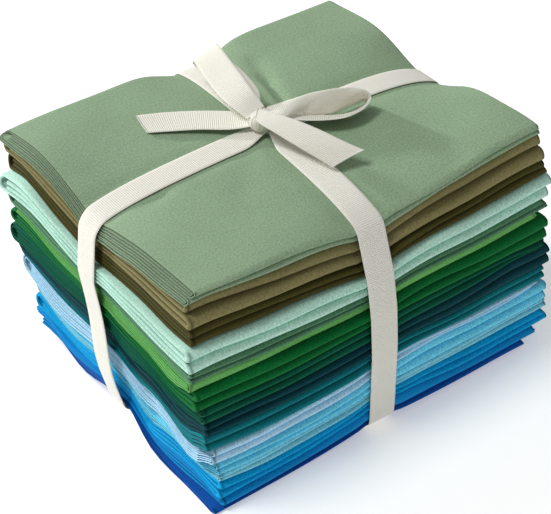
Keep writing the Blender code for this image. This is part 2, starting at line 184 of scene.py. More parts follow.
# Creases of the uppermost cloth: two ends, depth and half width. A negative depth is a ridge.
CREASES = [
    (13.4, 11.0, 17.2, 26.3, 1.70, 1.9),
    (17.2, 26.3, 20.5, 38.0, 1.10, 3.0),
    (11.0, 13.0, 13.0, 24.0, -0.45, 2.4),
    (36.1, -34.6, 36.8, -52.0, 0.50, 3.6),
    (8.5, -21.0, 14.0, -34.0, 0.90, 2.8),
    (4.5, -9.5, 8.5, -22.6, 0.90, 2.4),
    (-52.8, -9.4, -46.0, -8.2, 0.70, 2.6),
    (-12.0, 10.0, -24.0, 13.0, 0.50, 3.0),
    (-14.0, -10.0, -26.0, -24.0, 0.45, 4.0),
]


def hill(x, y, at_x, at_y, height, spread):
    """height * exp(-distance squared / spread squared), round one place."""
    return height * np.exp(-((x - at_x) ** 2 + (y - at_y) ** 2) / spread**2)


def creased(x, y):
    """Sum of the creases: a bell curve of the distance from each crease's line, fading past its ends."""
    total = 0.0
    for x1, y1, x2, y2, depth, width in CREASES:
        run = np.array([x2 - x1, y2 - y1])
        share = ((x - x1) * run[0] + (y - y1) * run[1]) / (run @ run)
        part = np.clip(share, 0, 1)
        off = np.hypot(x - x1 - part * run[0], y - y1 - part * run[1])
        total = total + depth * np.exp(-((off / width) ** 2))
    return total


print("puffs:", len(PUFFS), "and creases:", len(CREASES))

# %% [markdown]
# Each of the two surfaces is now one sum of such parts, so that any of them can be changed alone.
# The underside leaves room for the ribbon, which runs between the lowest cloth and the table, and
# more where the ribbon crosses itself.

# %% The stack's top and underside
# How much higher the middle is than the corners, and where along X and Y that is used up.
CROWN, CROWN_X, CROWN_Y = 2.0, 72.0, 60.0
# How deep the ribbon sinks into the top, how far beside it that fades, and the puffs with it.
DENT, DENT_FADE, PUFF_FADE = 0.5, 5.0, 8.0
# The gap under the stack, the room for the ribbon there, and more where it crosses itself.
FLOOR_GAP, RIBBON_ROOM, CROSSING_ROOM = 0.17, 0.75, 0.6
# The underside's lifted corner at the back left, in the same numbers as a puff.
LIFTED_CORNER = (-67.0, 55.0, 5.0, 24.0)


def stack_top(x, y):
    """Height of the top: the crown and the puffs, less the ribbon's dent and pulls and the creases."""
    crown = CROWN * (1 - (x / CROWN_X) ** 2 * (y / CROWN_Y) ** 2)
    raised = sum(hill(x, y, *puff) for puff in PUFFS) * (1 - under_band(x, y, PUFF_FADE))
    sunk = DENT * under_band(x, y, DENT_FADE) + pulled(x, y, TOP_PULL) + creased(x, y)
    return HEIGHT + crown + raised - sunk


def stack_bottom(x, y):
    """Height of the underside: room for the ribbon and its crossing, the lifted corner and the pulls."""
    crossing = 1 - smooth((np.maximum(abs(x - slant(y)), abs(y)) - BAND_HALF) / DENT_FADE)
    room = FLOOR_GAP + RIBBON_ROOM * under_band(x, y, DENT_FADE) + CROSSING_ROOM * crossing
    return room + hill(x, y, *LIFTED_CORNER) + pulled(x, y, BOTTOM_PULL)


print("top at the middle:", round(float(stack_top(0.0, 0.0)), 2), "mm")

# %% [markdown]
# The cloths are far from equally thick, and each changes along the stack. Their thickness was
# measured at nine places along the front and at six more along the left side. How each is folded
# can be seen there too: how many rolls it shows at the front, and how its plies lie at the left.

# %% The sixteen cloths
# fold says how the long strip is folded: gate shows two rolls at the front, book shows one.
# strip says how the strip's four plies lie: nest has one ply round the others, zigzag goes back
# and forth. front and left are thicknesses at the stations below. ends are the X of the left end
# at the front and the back and of the right end, and step is how far the left end moves out
# from each layer to the next below. noses are the Y of the folds at the front and the back, and
# set_back moves the upper and the lower roll inwards.
Cloth = namedtuple("Cloth", "name fold strip colour front left ends step noses set_back")
FRONT_X = np.array([-66.0, -50.0, -34.0, -18.0, 8.0, 24.0, 40.0, 56.0, 66.0])
LEFT_Y = np.array([-57.0, -44.0, -28.0, -14.0, 20.0, 42.0, 60.0])
CLOTHS = [
    Cloth("sage", "gate", "zigzag", (0.262, 0.370, 0.236), (3.2, 4.1, 5.4, 5.2, 5.0, 4.5, 5.0, 4.9, 4.2),
          (4.1, 5.1, 6.3, 2.3, 2.4, 1.4), (-66.9, -68.4, 66.6), 1.0, (-57.0, 57.0), (0.0, 0.2)),
    Cloth("khaki", "gate", "nest", (0.225, 0.200, 0.084), (9.3, 9.0, 8.3, 8.2, 7.6, 8.0, 8.6, 9.6, 10.4),
          (7.6, 6.7, 5.3, 8.0, 5.0, 6.4), (-68.0, -68.6, 68.2), 0.4, (-57.6, 57.4), (1.8, -0.2)),
    Cloth("brown", "gate", "nest", (0.060, 0.054, 0.011), (7.0, 6.8, 5.8, 5.4, 4.2, 4.5, 5.6, 6.4, 6.1),
          (7.8, 7.7, 6.2, 6.6, 5.4, 7.3), (-68.8, -68.6, 69.8), 0.3, (-57.3, 56.8), (0.3, 0.5)),
    Cloth("mint", "gate", "nest", (0.470, 0.750, 0.625), (9.4, 9.0, 8.0, 7.5, 7.4, 8.2, 8.0, 8.8, 9.1),
          (7.2, 6.0, 6.1, 5.9, 8.9, 6.3), (-71.0, -72.0, 71.4), 0.2, (-58.0, 58.6), (0.0, 0.0)),
    Cloth("slate", "gate", "nest", (0.100, 0.250, 0.140), (4.0, 3.8, 3.8, 3.9, 2.2, 2.9, 3.4, 3.3, 3.3),
          (4.8, 5.7, 4.9, 6.1, 5.8, 6.7), (-70.2, -70.7, 70.0), 0.2, (-57.6, 57.2), (0.4, 0.0)),
    Cloth("lime", "book", "zigzag", (0.140, 0.430, 0.115), (3.6, 2.8, 3.3, 2.8, 3.4, 3.0, 3.3, 3.6, 3.9),
          (7.1, 5.9, 6.2, 4.4, 1.6, 1.7), (-70.4, -70.4, 66.4), 0.1, (-56.4, 56.4), (0.0, 0.0)),
    Cloth("forest", "gate", "nest", (0.002, 0.140, 0.030), (8.3, 8.9, 7.5, 6.7, 6.7, 7.3, 8.2, 8.5, 9.3),
          (4.2, 4.3, 4.6, 4.3, 6.1, 4.9), (-70.0, -70.6, 70.4), 0.2, (-58.2, 57.8), (0.0, 0.3)),
    Cloth("pine", "gate", "zigzag", (0.002, 0.108, 0.058), (6.3, 5.1, 5.6, 5.8, 5.5, 5.4, 4.2, 3.1, 2.8),
          (7.3, 7.1, 8.5, 6.1, 6.5, 7.8), (-68.4, -71.8, 69.6), 0.2, (-57.8, 57.2), (0.3, 0.0)),
    Cloth("petrol", "gate", "nest", (0.001, 0.050, 0.062), (5.5, 6.6, 6.6, 6.1, 6.9, 7.7, 7.6, 8.2, 7.9),
          (8.6, 9.5, 8.7, 7.8, 7.5, 5.9), (-67.8, -69.6, 71.6), 0.2, (-58.0, 58.0), (0.0, 0.2)),
    Cloth("teal", "gate", "nest", (0.003, 0.180, 0.210), (7.1, 7.0, 6.3, 6.3, 5.1, 4.3, 5.9, 5.9, 5.0),
          (7.0, 3.3, 2.1, 0.9, 0.9, 1.7), (-68.0, -69.6, 68.8), 0.2, (-57.6, 57.0), (0.3, 0.0)),
    Cloth("powder", "gate", "zigzag", (0.420, 0.690, 0.880), (6.5, 6.5, 6.3, 5.8, 4.2, 3.8, 3.3, 3.1, 2.6),
          (7.9, 10.3, 12.0, 10.8, 9.2, 6.8), (-66.0, -69.8, 66.4), 0.1, (-57.2, 57.4), (0.0, 0.2)),
    Cloth("sky", "gate", "zigzag", (0.165, 0.670, 0.900), (4.7, 4.6, 4.9, 6.0, 7.8, 8.0, 6.9, 6.8, 7.6),
          (2.6, 5.2, 6.4, 3.8, 4.6, 5.5), (-65.4, -67.6, 71.2), 0.1, (-57.8, 57.8), (0.2, 0.0)),
    Cloth("seafoam", "gate", "zigzag", (0.250, 0.660, 0.790), (3.9, 4.7, 4.0, 3.2, 3.7, 4.2, 4.4, 3.9, 3.4),
          (1.3, 2.0, 2.3, 3.9, 6.0, 6.2), (-64.6, -66.4, 71.0), 0.1, (-57.4, 56.8), (0.3, 0.1)),
    Cloth("cerulean", "gate", "nest", (0.002, 0.350, 0.700), (6.9, 5.5, 6.0, 5.1, 4.4, 5.3, 5.8, 5.6, 5.6),
          (2.4, 6.8, 5.4, 4.5, 3.3, 6.8), (-65.0, -67.4, 70.2), 0.2, (-58.2, 57.4), (0.0, 0.2)),
    Cloth("azure", "book", "nest", (0.002, 0.240, 0.580), (3.5, 4.0, 4.1, 5.4, 5.6, 4.6, 4.2, 4.0, 4.1),
          (6.0, 4.9, 2.4, 2.3, 4.0, 6.0), (-65.2, -68.6, 66.6), 0.1, (-58.2, 57.6), (0.0, 0.0)),
    Cloth("royal", "book", "nest", (0.002, 0.078, 0.340), (1.7, 1.8, 1.8, 1.7, 2.2, 2.8, 3.0, 3.6, 3.4),
          (1.3, 0.9, 1.1, 4.2, 4.2, 3.0), (-68.4, -66.6, 60.8), 0.0, (-58.4, 54.6), (0.6, 0.0)),
]
print("cloths:", len(CLOTHS), "mean thickness", round(HEIGHT / len(CLOTHS), 2), "mm")

# %% [markdown]
# Between the measured places a cloth's thickness follows a smooth curve, with slow waves of a few
# per cent, so that no layer looks ruled. All the thicknesses at a place are then brought to the
# stack's height there, so that no two cloths ever cross.

# %% How thick a cloth is
# How much of the left side's change is lost by the right end, the least thickness of a cloth,
# and the size and length of its slow waves.
LEFT_LOST, THINNEST = 0.7, 1.6
SLOW_WAVES, SLOW_LENGTH = 0.03, 48.0
# Sines in one set of irregular waves, and what their sum is divided by.
WAVES, WAVES_SUM = 6, 2.6


def curve(t, start, stop, leaves, arrives):
    """From start to stop as t goes from 0 to 1, as the cubic that leaves and arrives with the two
    slopes given."""
    rise = start * (2 * t**3 - 3 * t**2 + 1) + stop * (3 * t**2 - 2 * t**3)
    return rise + leaves * (t**3 - 2 * t**2 + t) + arrives * (t**3 - t**2)


def between(stations, values, at):
    """A curve through the values at the stations. On each span it leaves and arrives with the mean
    slope of the spans beside that station, and it is level at both ends of the row."""
    slope = np.diff(values) / np.diff(stations)
    slope = np.concatenate([[0.0], (slope[1:] + slope[:-1]) / 2, [0.0]])
    cell = np.clip(np.searchsorted(stations, at) - 1, 0, len(stations) - 2)
    span = stations[cell + 1] - stations[cell]
    t = np.clip((at - stations[cell]) / span, 0, 1)
    values = np.asarray(values)
    return curve(t, values[cell], values[cell + 1], span * slope[cell], span * slope[cell + 1])


def wander(seed, a, b, length):
    """Irregular waves between about -1 and 1: six sines of a and b, each with its own direction,
    start and length."""
    rng = np.random.default_rng(seed)
    turn, total = 2 * np.pi, 0.0
    for angle, start, size in rng.uniform((0, 0, 0.7), (turn, turn, 1.7), (WAVES, 3)):
        along = a * np.cos(angle) + b * np.sin(angle)
        total = total + np.sin(turn * along / (length * size) + start)
    return total / WAVES_SUM


def thickness(index, x, y):
    """Relative thickness of one cloth: the front's value, changed to the left side's as the place
    nears that side, with slow waves of a few per cent."""
    cloth = CLOTHS[index]
    at_front = between(FRONT_X, cloth.front, x)
    at_left = between(LEFT_Y, (cloth.front[0], *cloth.left), y)
    nearness = 1 - LEFT_LOST * np.clip((x + HALF_X) / (2 * HALF_X), 0, 1)
    thick = np.maximum(at_front + (at_left - cloth.front[0]) * nearness, THINNEST)
    return thick * (1 + SLOW_WAVES * wander(index, x, y, SLOW_LENGTH))


def seams(index, x, y):
    """Heights of the top and the underside of one cloth: its share of the way from the stack's
    top to its underside."""
    sizes = [thickness(n, x, y) for n in range(len(CLOTHS))]
    above, total = sum(sizes[:index]), sum(sizes)
    top = stack_top(x, y)
    high = top - stack_bottom(x, y)
    return top - high * above / total, top - high * (above + sizes[index]) / total


print("khaki at the front's middle:", round(float(thickness(1, 0.0, -HALF_Y)), 1), "mm")

# %% [markdown]
# A real cut is folded twice in each direction. One way to model it would be a pile of separate
# layers, but those would have no true folds at their ends. Here the whole cut is one sheet: the
# first fold turns its length into a strip of four plies, and the second turns the strip into
# four layers. Each fold is a short list of stops along the sheet. A stop has a place on the
# table and a level, and round a bend both follow a half circle.

# %% Plies and rows
# Levels are counted in layers from the cloth's top. Within a layer the outer and inner plies of a
# nest lie this far from its middle, and a zigzag's folds join plies that are this far apart.
OUTER_PLY, INNER_PLY = 0.42, 0.14
ZIGZAG_FOLD = 0.27
# Where the bends start before any shift, and where the raw edges end at the back.
ENDS_X = (-66.6, 66.6)
ENDS_Y = (-55.5, 54.4)
RAW_Y = 52.6
# The rows between them, closer together beside the ribbon, and more for the top cloth's creases.
ROWS_X = np.array([-65.6, -63.6, -60, -55, -49, -43, -37, -31, -25, -19, -14.5, -11, -8, -4.5, -0.5, 3.5,
                   7, 10, 13.5, 18, 24, 30, 36, 42, 48, 54, 59.5, 63.4, 65.6])
ROWS_Y = np.array([-54.4, -52, -48, -42.5, -37, -31, -25, -19, -14, -10.5, -8, -5.5, -2, 2, 5.5, 8, 10.5,
                   14, 19, 25, 31, 37, 42.5, 47.5, 51])
CREASE_ROWS = np.array([12.0, 15.0, 16.5, 19.5, 21.0])
# Stops round a fold of the strip, round a roll at the front and round the wide bend.
STRIP_BEND, NOSE_BEND, SPINE_BEND = 7, 9, 13
print("rows along X and Y:", len(ROWS_X), "and", len(ROWS_Y))

# %% [markdown]
# The first fold is seen at the left and right ends. The strip's four plies run to and fro, and
# each bend between two of them is a half circle. In a nest one folded pair lies inside the other,
# and in a zigzag the plies follow each other from the top down.

# %% Stops of the strip
# x and level, the outward reach at a bend, which bend the stop belongs to, and how near it is to
# the bend's tip.
Strip = namedtuple("Strip", "x level reach bend tip")


def finer(rows, times):
    """Rows with times - 1 more between each two."""
    steps = np.arange(len(rows) * times - times + 1) / times
    return np.interp(steps, np.arange(len(rows)), rows)


def strip_stops(kind, times):
    """The cut's length folded in four. Each ply runs between the two ends, and each bend is a
    half circle of levels: middle + radius * cosine, reaching out by radius * sine."""
    inner = np.union1d(ROWS_X, CREASE_ROWS) if times > 1 else ROWS_X
    rows = finer(np.array([ENDS_X[0], *inner, ENDS_X[1]]), times)
    turn = np.linspace(0, np.pi, STRIP_BEND + 2)[1:-1]
    levels = {
        "nest": (OUTER_PLY, -OUTER_PLY, -INNER_PLY, INNER_PLY),
        "zigzag": (OUTER_PLY, OUTER_PLY - ZIGZAG_FOLD, ZIGZAG_FOLD - OUTER_PLY, -OUTER_PLY),
    }[kind]
    parts = []
    for number, level in enumerate(levels):
        run = rows[::-1] if number % 2 == 0 else rows
        bend = np.where(run < 0, 2 * (number // 2), 1)
        none = np.zeros(len(run))
        parts.append(np.stack([run, none + level, none, bend, none]))
        if number < 3:
            after = levels[number + 1]
            middle, radius = (level + after) / 2, (level - after) / 2
            end = ENDS_X[number % 2]
            reach = abs(radius) * np.sin(turn) * np.sign(end)
            one = np.ones(STRIP_BEND)
            around = middle + radius * np.cos(turn)
            parts.append(np.stack([end * one, around, reach, number * one, np.sin(turn)]))
    return Strip(*np.hstack(parts))


print("stops along a cut:", len(strip_stops("nest", 1).x))

# %% [markdown]
# The second fold is seen at the front. The strip is folded as a gate, with both raw edges turned
# in and one wide bend at the back, or as a book, with the wide bend in front. A function for each
# way would say much the same twice. Written out as layers and bends they are two short tables,
# with one function for a layer's stops and one for a bend's.

# %% Stops of the section
# y, the level as at + turn * the ply's level, the outward sine round a bend, its radius and the
# sign with which a ply adds to it, and the number of the bend.
Section = namedtuple("Section", "y at turn sine radius sign bend")
# Layers and bends in the order along the cut. A layer has its level, which side is up, whether it
# runs to the back, whether it ends in a raw edge, and the bends at its front and its back. A bend
# has its middle and radius in levels, its sign, the half turns where it starts and stops, whether
# it is at the front, its stops and its number.
Layer = namedtuple("Layer", "at turn to_back raw bend_front bend_back")
Bend = namedtuple("Bend", "middle radius sign start stop front count number")
FOLDS = {
    "gate": [
        Layer(1.5, 1, False, True, 0, 3),
        Bend(1, 0.5, 1, 0, 1, True, NOSE_BEND, 0),
        Layer(0.5, -1, True, False, 0, 2),
        Bend(2, 1.5, 1, 1, 0, False, SPINE_BEND, 2),
        Layer(3.5, 1, False, False, 1, 2),
        Bend(3, 0.5, 1, 0, 1, True, NOSE_BEND, 1),
        Layer(2.5, -1, True, True, 1, 3),
    ],
    "book": [
        Layer(3.5, 1, False, True, 0, 3),
        Bend(2, 1.5, 1, 0, 1, True, SPINE_BEND, 0),
        Layer(0.5, -1, True, False, 0, 2),
        Bend(1, 0.5, 1, 1, 0, False, NOSE_BEND, 2),
        Layer(1.5, 1, False, False, 1, 2),
        Bend(2, 0.5, -1, 1, 0, True, NOSE_BEND, 1),
        Layer(2.5, -1, True, True, 1, 3),
    ],
}


def layer_stops(layer, times):
    """A straight layer: every row at the layer's level, in the order in which the cut runs."""
    rows = finer(np.array([ENDS_Y[0], *ROWS_Y, RAW_Y if layer.raw else ENDS_Y[1]]), times)
    bend = np.where(rows < 0, layer.bend_front, layer.bend_back)
    if not layer.to_back:
        rows, bend = rows[::-1], bend[::-1]
    one = np.ones(len(rows))
    return np.stack([rows, layer.at * one, layer.turn * one, 0 * one, 0 * one, 0 * one, bend])


def bend_stops(bend):
    """A half circle: the level is middle + (radius + sign * ply) * cosine."""
    turn = np.linspace(bend.start, bend.stop, bend.count + 2)[1:-1] * np.pi
    one = np.ones(bend.count)
    end, outward = (ENDS_Y[0], -1) if bend.front else (ENDS_Y[1], 1)
    return np.stack([end * one, bend.middle + bend.radius * np.cos(turn), bend.sign * np.cos(turn),
                     outward * np.sin(turn), bend.radius * one, bend.sign * one, bend.number * one])


def section_stops(kind, times):
    """The strip folded in four across: the stops of its layers and bends, one after the other."""
    return Section(*np.hstack([
        layer_stops(part, times) if isinstance(part, Layer) else bend_stops(part) for part in FOLDS[kind]
    ]))


print("stops across a cut:", len(section_stops("gate", 1).y))

# %% [markdown]
# The stops only say which ply lies where. The real folds are soft and uneven: the ends step out
# from layer to layer, the rolls swell at the middle of the front where nothing holds them, and
# every edge wanders a little. Those shifts are added at the ends and fade to nothing towards
# the middle of the stack, so the plies stay side by side. First come the wandering edges, with
# seeded waves, so that the folds are the same each time.

# %% Uneven edges
# How far an edge wanders, with waves of which length, how much the waves shift from one ply,
# layer or bend to the next, and the seed of the uppermost cloth.
Uneven = namedtuple("Uneven", "far length shift seed")
LEFT_UNEVEN = Uneven(0.4, 46.0, 9.0, 100)
RIGHT_UNEVEN = Uneven(0.5, 40.0, 9.0, 200)
PLY_UNEVEN = Uneven(0.5, 30.0, 9.0, 300)
NOSE_UNEVEN = Uneven(0.35, 44.0, 40.0, 400)
RAW_UNEVEN = Uneven(0.6, 50.0, 20.0, 500)
# How far apart along those waves the plies of the right end are.
PLIES_APART = 30.0


def wandering(kind, index, along, number):
    """far * irregular waves along an edge, shifted for each ply, layer or bend."""
    return kind.far * wander(kind.seed + index, along, kind.shift * number, kind.length)


wanders = wandering(NOSE_UNEVEN, 1, FRONT_X, 0)
print("khaki's upper roll wanders by", round(float(np.ptp(wanders)), 2), "mm along the front")

# %% [markdown]
# At the left and the right the layers end in the strip's folds. How deep those are goes with the
# thickness of a ply, and a nest's inner fold is tucked in behind the outer one. One rounding for
# all of them would be simpler, but thick and thin cloths show quite different ends at the left.

# %% The ends of the layers
# How far from an end a shift has faded.
END_FADE = 14.0
# In plies: how deep the folds of an end are, and how far the inner fold of a nest is tucked in.
FOLD_DEPTH = {"nest": 1.25, "zigzag": 2.7}
TUCKED = 1.1
# The shift between two left folds of a zigzag's layer, in steps, to either side.
PLY_STEP = 0.25
# The right end's step from layer to layer, and how far in it is set.
RIGHT_STEP, RIGHT_INSET = 0.2, 0.6


def ply_of(cloth):
    """Mean thickness of a quarter of the cloth at the left, the unit of its folds' depth."""
    return np.mean((cloth.front[0], *cloth.left)) / 4


def ply_step(cloth, strip, section):
    """In a zigzag the lower of a layer's two left folds stands half a step further out. The layers
    are turned over in turn, so it is the first fold in one and the second in the next."""
    if cloth.strip == "nest":
        return 0.0
    lower = np.where(section.turn < 0, strip.bend == 2, strip.bend == 0)
    return -PLY_STEP * cloth.step * (2 * lower - 1)


def end_to_end(index, strip, section):
    """x: the row's place, shifted near the ends to where this layer ends, less the bend's reach."""
    cloth = CLOTHS[index]
    layer = section.at - 2
    along = np.clip((section.y + HALF_Y) / (2 * HALF_Y), 0, 1)
    left_end = cloth.ends[0] + (cloth.ends[1] - cloth.ends[0]) * along - cloth.step * layer
    left_end = left_end + wandering(LEFT_UNEVEN, index, section.y, layer) + ply_step(cloth, strip, section)
    right_end = cloth.ends[2] + RIGHT_STEP * layer + wandering(RIGHT_UNEVEN, index, section.y, layer)
    right_end = right_end + wandering(PLY_UNEVEN, index, PLIES_APART * strip.level, layer) - RIGHT_INSET

    nest = cloth.strip == "nest"
    depth_left = FOLD_DEPTH[cloth.strip] * ply_of(cloth)
    depth_right = FOLD_DEPTH["nest"] * cloth.front[3] / 4
    tip = depth_left * (OUTER_PLY if nest else ZIGZAG_FOLD / 2)
    tucked = np.where(nest & (strip.bend == 2), TUCKED * ply_of(cloth), 0.0)
    at_left = 1 - smooth((strip.x - ENDS_X[0]) / END_FADE)
    at_right = 1 - smooth((ENDS_X[1] - strip.x) / END_FADE)
    x = strip.x + at_left * (left_end + tip + tucked - ENDS_X[0]) + at_right * (right_end - ENDS_X[1])
    return x + strip.reach * np.where(strip.x < 0, depth_left, depth_right)


print("a ply of khaki:", round(float(ply_of(CLOTHS[1])), 2), "mm")

# %% [markdown]
# At the front and the back the layers end in rolls and raw edges. The rolls bulge most at the
# middle of the front and halfway up the stack, furthest from the edges that the ribbon pulls in.
# A straight row of rolls would be easier, but it is the bulge that makes the stack look soft.

# %% The rolls and the raw edges
# How far the rolls bulge at the middle of the front, and the X where that has ended.
FRONT_BULGE, BULGE_END = 4.2, 74.0
# How far from the front a shift has faded, and the back's share of the front's unevenness.
NOSE_FADE, BACK_SHARE = 22.0, 0.4
# How far in a book's inner roll sits, in plies and in millimetres, and how far in a raw edge.
BOOK_PLIES, BOOK_INSET, RAW_INSET = 0.75, 0.5, 0.4


def height_share(index):
    """0 at the bottom of the stack and 1 at the top, for the middle of one cloth."""
    sizes = [c.front[0] for c in CLOTHS]
    return 1 - (sum(sizes[:index]) + sizes[index] / 2) / sum(sizes)


def front_to_back(index, x, strip, section):
    """y: the row's place, shifted near the rolls by the bulge, the set back and the unevenness, and
    moved out round a bend by its sine * (radius + sign * ply)."""
    cloth = CLOTHS[index]
    bulge = FRONT_BULGE * np.sin(np.pi * height_share(index)) * (1 - (x / BULGE_END) ** 2)
    uneven = wandering(NOSE_UNEVEN, index, x, section.bend)
    inside = BOOK_PLIES * ply_of(cloth) + BOOK_INSET if cloth.fold == "book" else 0.0
    backs = [cloth.set_back[0], cloth.set_back[1] + inside]
    set_back = np.select([section.bend == 0, section.bend == 1], backs, 0.0)
    raw = wandering(RAW_UNEVEN, index, x, strip.level) - RAW_INSET
    at_front = 1 - smooth((section.y - ENDS_Y[0]) / NOSE_FADE)
    at_back = 1 - smooth((ENDS_Y[1] - section.y) / END_FADE)
    y = section.y + at_front * (uneven + set_back - bulge)
    y = y + at_back * (BACK_SHARE * uneven + np.where(section.bend == 3, raw, 0.0))
    swell = np.where(section.y < 0, ENDS_Y[0] - cloth.noses[0], cloth.noses[1] - ENDS_Y[1])
    widest = np.maximum(section.radius, 0.5) + OUTER_PLY
    return y + section.sine * (section.radius + section.sign * strip.level) / widest * swell


print("height of the middle cloth in the stack:", round(height_share(len(CLOTHS) // 2), 2))

# %% [markdown]
# One folded sheet is then a grid: its rows are the strip's stops, its columns the section's. The
# grooves between two folds of an end are worked out on the same grid, as a number from 0 to 1.
# In the photograph they are dark, since no light gets in, so the finish paints shade into the cloth's
# colour there and needs to know where.

# %% One folded sheet
# How the painted shade of a groove fades: from the end inwards, towards a fold's tip, and under the cloth's
# top.
PAINTED_SHADE_REACH, PAINTED_SHADE_POWER = 1.1, 1.5
PAINTED_SHADE_START, PAINTED_SHADE_FULL = 0.1, 0.2


def stops_of(cloth, times):
    """A cloth's stops as a column along its length and a row along its width, and each level."""
    strip = Strip(*(stops[:, None] for stops in strip_stops(cloth.strip, times)))
    section = Section(*(stops[None, :] for stops in section_stops(cloth.fold, times)))
    return strip, section, section.at + section.turn * strip.level


def folded_sheet(index, times):
    """Points of one cloth, stops along its length by stops along its width. The height is the
    cloth's top less the level's share of its thickness there."""
    strip, section, level = stops_of(CLOTHS[index], times)
    x = end_to_end(index, strip, section)
    y = front_to_back(index, x, strip, section)
    top, bottom = seams(index, x, y)
    return np.stack([x, y, top - (top - bottom) * level / 4], axis=2)


def painted_groove_mask(index, times):
    """Where shade is painted: 1 deep between two folds of an end, falling to 0 at each fold's tip and on
    the flat cloth: nearness to the end * (1 - nearness to the tip) to a power. The cloth's own top stays at
    0."""
    strip, section, level = stops_of(CLOTHS[index], times)
    from_end = np.minimum(strip.x - ENDS_X[0], ENDS_X[1] - strip.x)
    between_tips = (1 - smooth(from_end / PAINTED_SHADE_REACH)) * (1 - strip.tip) ** PAINTED_SHADE_POWER
    return between_tips * smooth((level - PAINTED_SHADE_START) / PAINTED_SHADE_FULL)


print("points of one cloth:", folded_sheet(1, 1).shape[:2])

# %% [markdown]
# A grid of points becomes a mesh by joining each four neighbours. Unwrapping a folded sheet would
# tear its map at every bend. Here the map is simply laid out in metres along the cut, so that a
# weave later follows the threads through every fold.

# %% Grids to meshes
def grid_object(name, points, uv, round_rows=False, round_columns=False, caps=False):
    """A mesh of the squares between neighbouring points. uv has one more row or column than
    points where that direction closes on itself. Caps close the first and the last row."""
    rows, columns = points.shape[:2]
    r = np.arange(rows if round_rows else rows - 1)[:, None]
    c = np.arange(columns if round_columns else columns - 1)[None, :]
    corners = [(0, 0), (1, 0), (1, 1), (0, 1)]
    faces = np.stack([(r + i) % rows * columns + (c + j) % columns for i, j in corners], axis=2)
    faces = faces.reshape(-1, 4).tolist()
    spots = np.stack([uv[r + i, c + j] for i, j in corners], axis=2).reshape(-1, 2)
    if caps:
        faces += [list(range(columns))[::-1], list(range((rows - 1) * columns, rows * columns))]
        spots = np.vstack([spots, uv[0, :columns][::-1], uv[-1, :columns]])
    mesh = bpy.data.meshes.new(name)
    mesh.from_pydata(to_model(points).reshape(-1, 3).tolist(), [], faces)
    mesh.uv_layers.new(name="cut").data.foreach_set("uv", spots.ravel())
    mesh.polygons.foreach_set("use_smooth", np.ones(len(mesh.polygons), bool))
    mesh.update()
    return add(name, mesh)


def lengths(points, axis):
    """Distance along the grid in metres, averaged over the other direction."""
    step = np.linalg.norm(np.diff(points, axis=axis), axis=2).mean(axis=1 - axis)
    return np.concatenate([[0], np.cumsum(step)]) * MM


print("one sheet measures", [round(lengths(folded_sheet(1, 1), axis)[-1], 3) for axis in (0, 1)], "m")

# %% [markdown]
# All the cloths are folded by the same function. Only the uppermost one shows its flat side, so it alone
# gets a grid that is twice as fine. How deep each point lies between two folds is kept on the mesh, because
# the finish paints shade into those grooves later.

# %% Fold the sixteen cloths
SAGE_DETAIL = 2
cloths, cloth_points = [], []
for index, cloth in enumerate(CLOTHS):
    times = SAGE_DETAIL if index == 0 else 1
    points = folded_sheet(index, times)
    along, across = lengths(points, 0), lengths(points, 1)
    uv = np.stack(np.meshgrid(along, across, indexing="ij"), axis=2)
    folded = grid_object(f"cloth_{index + 1:02d}_{cloth.name}_folded", points, uv)
    # Painted shade: how deep in a groove between two folds each point lies, which darkens the colour there.
    painted_groove_shade = folded.data.attributes.new("painted_groove_shade", "FLOAT", "POINT")
    painted_groove_shade.data.foreach_set("value", painted_groove_mask(index, times).ravel())
    cloths.append(folded)
    cloth_points.append(points.reshape(-1, 3))
    print(cloth.name, points.shape[:2], "length", round(along[-1], 3), "width", round(across[-1], 3))
cloth_points = np.vstack(cloth_points)

# %% [markdown]
# A ribbon that is drawn tight runs straight between the points that hold it out. A Shrinkwrap
# modifier would lay it on the cloth, but would also press it into every dip. In the plane of the
# band the taut line is the convex outline of the cloth under it, so that outline is worked out,
# moved out a little, given even steps and smoothed.

# %% A taut line round the cloth
# Millimetres from one section of the ribbon to the next.
BAND_STEP = 1.0
# Rounds of smoothing before the line is moved out and after.
SMOOTH_BEFORE, SMOOTH_AFTER = 3, 2


def outline(points):
    """The convex outline of points in a plane, counterclockwise: one chain along the lower side
    and one back along the upper side, each of left turns alone."""
    points = sorted(map(tuple, np.round(points, 4)))

    def chain(ordered):
        """The points that are left when each one without a left turn has been dropped."""
        kept = []
        for p in ordered:
            while len(kept) > 1:
                (ax, ay), (bx, by) = kept[-2], kept[-1]
                if (bx - ax) * (p[1] - ay) - (by - ay) * (p[0] - ax) > 0:
                    break
                kept.pop()
            kept.append(p)
        return kept[:-1]

    return np.array(chain(points) + chain(points[::-1]))


def even_steps(path, step):
    """The same closed line with even steps along it."""
    closed = np.vstack([path, path[:1]])
    length = np.concatenate([[0], np.cumsum(np.linalg.norm(np.diff(closed, axis=0), axis=1))])
    at = np.linspace(0, length[-1], int(length[-1] / step), endpoint=False)
    return np.stack([np.interp(at, length, closed[:, k]) for k in range(2)], axis=1)


def smoothed(path, rounds):
    """Each point of a closed line moved to the mean of itself, twice, and its two neighbours."""
    for _ in range(rounds):
        path = (np.roll(path, 1, axis=0) + path * 2 + np.roll(path, -1, axis=0)) / 4
    return path


def unit(vectors):
    """The same directions with length 1."""
    return vectors / np.linalg.norm(vectors, axis=-1, keepdims=True)


def turned_out(path):
    """The unit direction to the right of each step of a closed line in a plane."""
    forward = unit(np.roll(path, -1, axis=0) - np.roll(path, 1, axis=0))
    return np.stack([forward[:, 1], -forward[:, 0]], axis=1)


